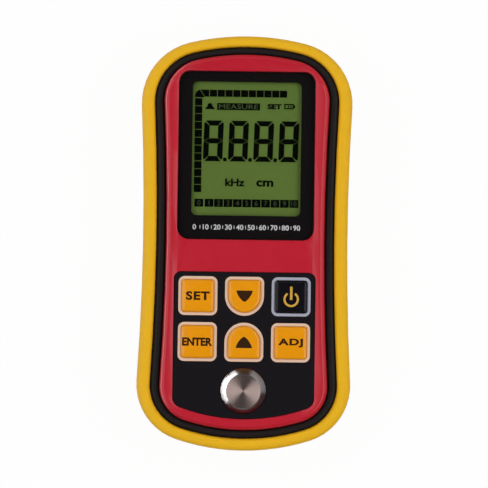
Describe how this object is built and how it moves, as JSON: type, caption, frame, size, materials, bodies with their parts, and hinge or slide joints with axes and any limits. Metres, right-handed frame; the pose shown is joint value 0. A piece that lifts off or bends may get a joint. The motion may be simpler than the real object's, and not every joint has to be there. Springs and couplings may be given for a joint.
{
  "type": "ultrasonic thickness gauge",
  "caption": "Handheld gauge with a waisted rubber boot, raised front panel, display window, sprung keys, steel calibration block, probe sockets and a hinged battery door.",
  "frame": {"origin": "middle of the outline on the table, under the boot's back lip", "axes": "+X to the right across the front, +Y along the length towards the probe sockets, +Z out of the front face"},
  "size_m": [0.0752, 0.146, 0.0302],
  "materials": {
    "yellow_rubber": "matte",
    "black_shell": "satin",
    "red_panel": "satin",
    "black_cover": "satin",
    "clear_window": "polished",
    "steel": "turned",
    "orange_key": "satin",
    "black_key": "satin",
    "white_plastic": "matte",
    "display_green": "satin",
    "board_green": "satin",
    "chip_black": "matte",
    "strip_grey": "matte",
    "ferrite_brown": "matte",
    "nickel": "satin",
    "gilt": "polished",
    "cell_sleeve": "satin"
  },
  "bodies": {
    "case": {"rubber_boot": "yellow_rubber", "front_case": "black_shell", "rear_case": "black_shell", "front_panel": "red_panel", "display_window": "clear_window", "keypad_cover": "black_cover", "calibration_block": "steel", "socket_shell_left": "nickel", "socket_shell_right": "nickel", "switch_bodies": "chip_black", "display_glass": "display_green", "display_holder": "white_plastic", "backlight_panel": "white_plastic", "contact_strips": "strip_grey", "circuit_board": "board_green", "processor_chip": "chip_black", "receiver_chip": "chip_black", "crystal_can": "steel", "pulse_transformer": "ferrite_brown", "buzzer": "chip_black", "socket_insulator_left": "white_plastic", "socket_insulator_right": "white_plastic", "socket_contact_left": "gilt", "socket_contact_right": "gilt", "battery_cell_1": "cell_sleeve", "battery_cell_2": "cell_sleeve", "battery_cell_3": "cell_sleeve", "contact_positive": "nickel", "contact_negative": "nickel", "contact_bridge_top": "nickel", "contact_bridge_bottom": "nickel", "case_screws": "steel", "board_screws": "steel", "window_gasket": "chip_black"},
    "key_set": {"key_set": "orange_key", "switch_plunger_set": "white_plastic"},
    "key_down": {"key_down": "orange_key", "switch_plunger_down": "white_plastic"},
    "key_power": {"key_power": "black_key", "switch_plunger_power": "white_plastic"},
    "key_enter": {"key_enter": "orange_key", "switch_plunger_enter": "white_plastic"},
    "key_up": {"key_up": "orange_key", "switch_plunger_up": "white_plastic"},
    "key_adjust": {"key_adjust": "orange_key", "switch_plunger_adjust": "white_plastic"},
    "battery_door": {"battery_door": "black_shell"}
  },
  "joints": [
    {"name": "press_set", "type": "slide", "parent": "case", "child": "key_set", "axis": [0, 0, -1], "range_m": [0, 0.0006], "stiffness_N_per_m": 800},
    {"name": "press_down", "type": "slide", "parent": "case", "child": "key_down", "axis": [0, 0, -1], "range_m": [0, 0.0006], "stiffness_N_per_m": 800},
    {"name": "press_power", "type": "slide", "parent": "case", "child": "key_power", "axis": [0, 0, -1], "range_m": [0, 0.0006], "stiffness_N_per_m": 800},
    {"name": "press_enter", "type": "slide", "parent": "case", "child": "key_enter", "axis": [0, 0, -1], "range_m": [0, 0.0006], "stiffness_N_per_m": 800},
    {"name": "press_up", "type": "slide", "parent": "case", "child": "key_up", "axis": [0, 0, -1], "range_m": [0, 0.0006], "stiffness_N_per_m": 800},
    {"name": "press_adjust", "type": "slide", "parent": "case", "child": "key_adjust", "axis": [0, 0, -1], "range_m": [0, 0.0006], "stiffness_N_per_m": 800},
    {"name": "door_hinge", "type": "hinge", "parent": "case", "child": "battery_door", "pos_m": [0, -0.00005, 0.002], "axis": [1, 0, 0], "range_deg": [0, 90]}
  ]
}
